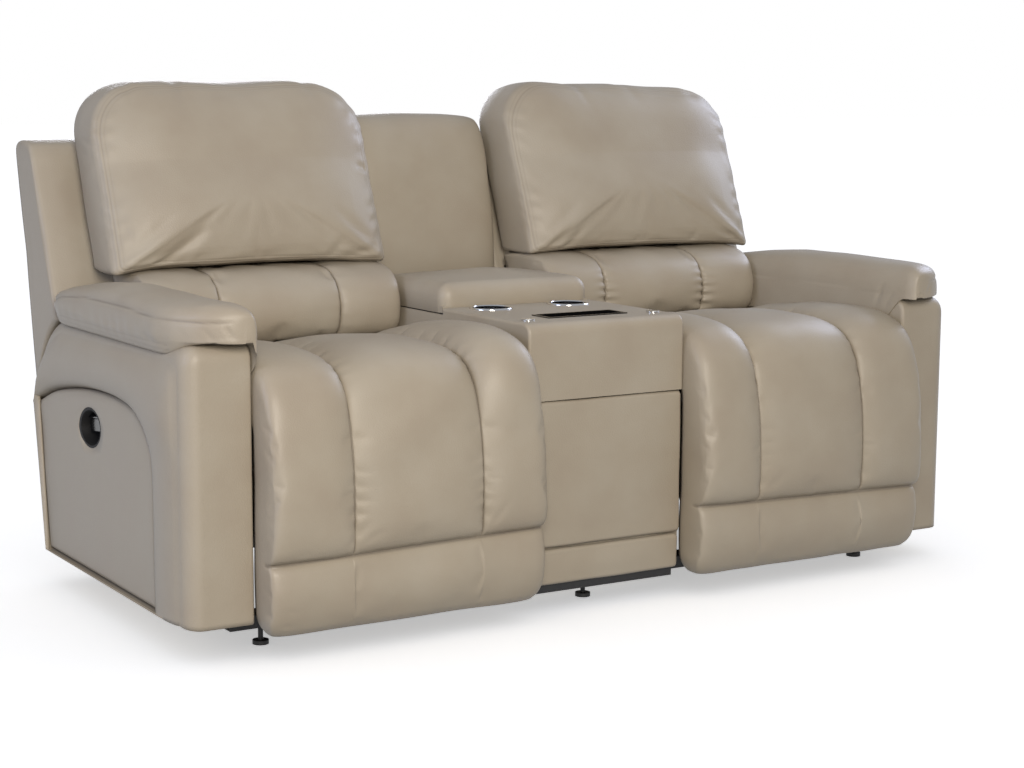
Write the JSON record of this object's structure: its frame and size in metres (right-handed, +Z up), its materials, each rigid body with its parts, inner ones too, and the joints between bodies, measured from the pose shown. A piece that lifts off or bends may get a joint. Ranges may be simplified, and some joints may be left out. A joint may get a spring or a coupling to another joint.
{
  "type": "reclining loveseat",
  "caption": "Leather loveseat of reclining seats either side of a padded console, with channelled chaise leg rests, headrest pillows, a lidded bin and chromed cup holders.",
  "frame": {"origin": "on the floor at the middle of the overall width and depth", "axes": "+X to the right seen from the front, -Y to the front, +Z up"},
  "size_m": [1.8954, 1.0606, 1.071],
  "materials": {
    "upholstery_leather": "satin beige top-grain leather",
    "plywood": "bare plywood",
    "painted_steel": "black powder coat",
    "zinc_plated_steel": "zinc plated",
    "chrome_trim": "bright chrome",
    "black_gloss_plastic": "black gloss",
    "black_matt_plastic": "black matt",
    "dust_cloth": "black woven dust cloth"
  },
  "bodies": {
    "base": {"left_arm_cover": "upholstery_leather", "right_arm_cover": "upholstery_leather", "left_arm_side_panel": "upholstery_leather", "right_arm_side_panel": "upholstery_leather", "left_arm_pad": "upholstery_leather", "right_arm_pad": "upholstery_leather", "left_seat_cushion": "upholstery_leather", "right_seat_cushion": "upholstery_leather", "console_deck": "upholstery_leather", "console_front_panel": "upholstery_leather", "console_lower_panel": "upholstery_leather", "console_back_cushion": "upholstery_leather", "console_back_cover": "upholstery_leather", "left_arm_box": "plywood", "right_arm_box": "plywood", "left_seat_deck": "plywood", "right_seat_deck": "plywood", "console_box": "plywood", "console_back_post": "plywood", "left_mechanism_plates": "painted_steel", "right_mechanism_plates": "painted_steel", "floor_rails": "painted_steel", "box_hinge_leaf": "zinc_plated_steel", "left_cup_holder": "chrome_trim", "right_cup_holder": "chrome_trim", "accessory_ports": "chrome_trim", "left_finger_cup": "black_gloss_plastic", "right_finger_cup": "black_gloss_plastic", "console_tray": "black_gloss_plastic", "console_plinth": "black_matt_plastic", "storage_bin": "black_matt_plastic", "front_glides": "black_matt_plastic", "rear_glides": "black_matt_plastic", "left_rear_apron": "dust_cloth", "right_rear_apron": "dust_cloth"},
    "left_back": {"left_back_carrier": "painted_steel", "left_back_frame": "plywood", "left_back_shell": "upholstery_leather", "left_lumbar_cushion": "upholstery_leather", "left_headrest_pillow": "upholstery_leather"},
    "left_legrest": {"left_legrest_carrier": "painted_steel", "left_legrest_board": "plywood", "left_legrest_pad": "upholstery_leather"},
    "left_drive": {"left_drive_tube": "painted_steel"},
    "left_rods": {"left_push_rods": "zinc_plated_steel"},
    "left_release": {"left_release_paddle": "black_gloss_plastic"},
    "right_back": {"right_back_carrier": "painted_steel", "right_back_frame": "plywood", "right_back_shell": "upholstery_leather", "right_lumbar_cushion": "upholstery_leather", "right_headrest_pillow": "upholstery_leather"},
    "right_legrest": {"right_legrest_carrier": "painted_steel", "right_legrest_board": "plywood", "right_legrest_pad": "upholstery_leather"},
    "right_drive": {"right_drive_tube": "painted_steel"},
    "right_rods": {"right_push_rods": "zinc_plated_steel"},
    "right_release": {"right_release_paddle": "black_gloss_plastic"},
    "lid": {"lid_board": "plywood", "lid_pad": "upholstery_leather", "lid_hinge_leaf": "zinc_plated_steel"}
  },
  "joints": [
    {"name": "left_recline", "type": "hinge", "parent": "base", "child": "left_back", "pos_m": [-0.491, 0.198, 0.38], "axis": [-1, 0, 0], "range_deg": [0, 30]},
    {"name": "left_legrest_swing", "type": "hinge", "parent": "base", "child": "left_legrest", "pos_m": [-0.491, -0.384, 0.47], "axis": [-1, 0, 0], "range_deg": [0, 80]},
    {"name": "left_drive_turn", "type": "hinge", "parent": "base", "child": "left_drive", "pos_m": [-0.491, -0.234, 0.45], "axis": [-1, 0, 0], "range_deg": [0, 80]},
    {"name": "left_rod_swing", "type": "hinge", "parent": "left_drive", "child": "left_rods", "pos_m": [-0.491, -0.254, 0.3], "axis": [-1, 0, 0], "range_deg": [-80, 0]},
    {"name": "left_release_pull", "type": "hinge", "parent": "base", "child": "left_release", "pos_m": [-0.908, 0.06309, 0.39489], "axis": [0, 0.9945, -0.1045], "range_deg": [0, 25], "stiffness_Nm_per_rad": 0.8},
    {"name": "right_recline", "type": "hinge", "parent": "base", "child": "right_back", "pos_m": [0.491, 0.198, 0.38], "axis": [-1, 0, 0], "range_deg": [0, 30]},
    {"name": "right_legrest_swing", "type": "hinge", "parent": "base", "child": "right_legrest", "pos_m": [0.491, -0.384, 0.47], "axis": [-1, 0, 0], "range_deg": [0, 80]},
    {"name": "right_drive_turn", "type": "hinge", "parent": "base", "child": "right_drive", "pos_m": [0.491, -0.234, 0.45], "axis": [-1, 0, 0], "range_deg": [0, 80]},
    {"name": "right_rod_swing", "type": "hinge", "parent": "right_drive", "child": "right_rods", "pos_m": [0.491, -0.254, 0.3], "axis": [-1, 0, 0], "range_deg": [-80, 0]},
    {"name": "right_release_pull", "type": "hinge", "parent": "base", "child": "right_release", "pos_m": [0.908, 0.06309, 0.39489], "axis": [0, -0.9945, 0.1045], "range_deg": [0, 25], "stiffness_Nm_per_rad": 0.8},
    {"name": "lid_turn", "type": "hinge", "parent": "base", "child": "lid", "pos_m": [0, 0.206, 0.586], "axis": [-1, 0, 0], "range_deg": [0, 80]}
  ],
  "couplings": [
    {"joint": "left_drive_turn", "follows": "left_legrest_swing", "ratio": 1},
    {"joint": "left_rod_swing", "follows": "left_legrest_swing", "ratio": -1},
    {"joint": "right_drive_turn", "follows": "right_legrest_swing", "ratio": 1},
    {"joint": "right_rod_swing", "follows": "right_legrest_swing", "ratio": -1}
  ]
}
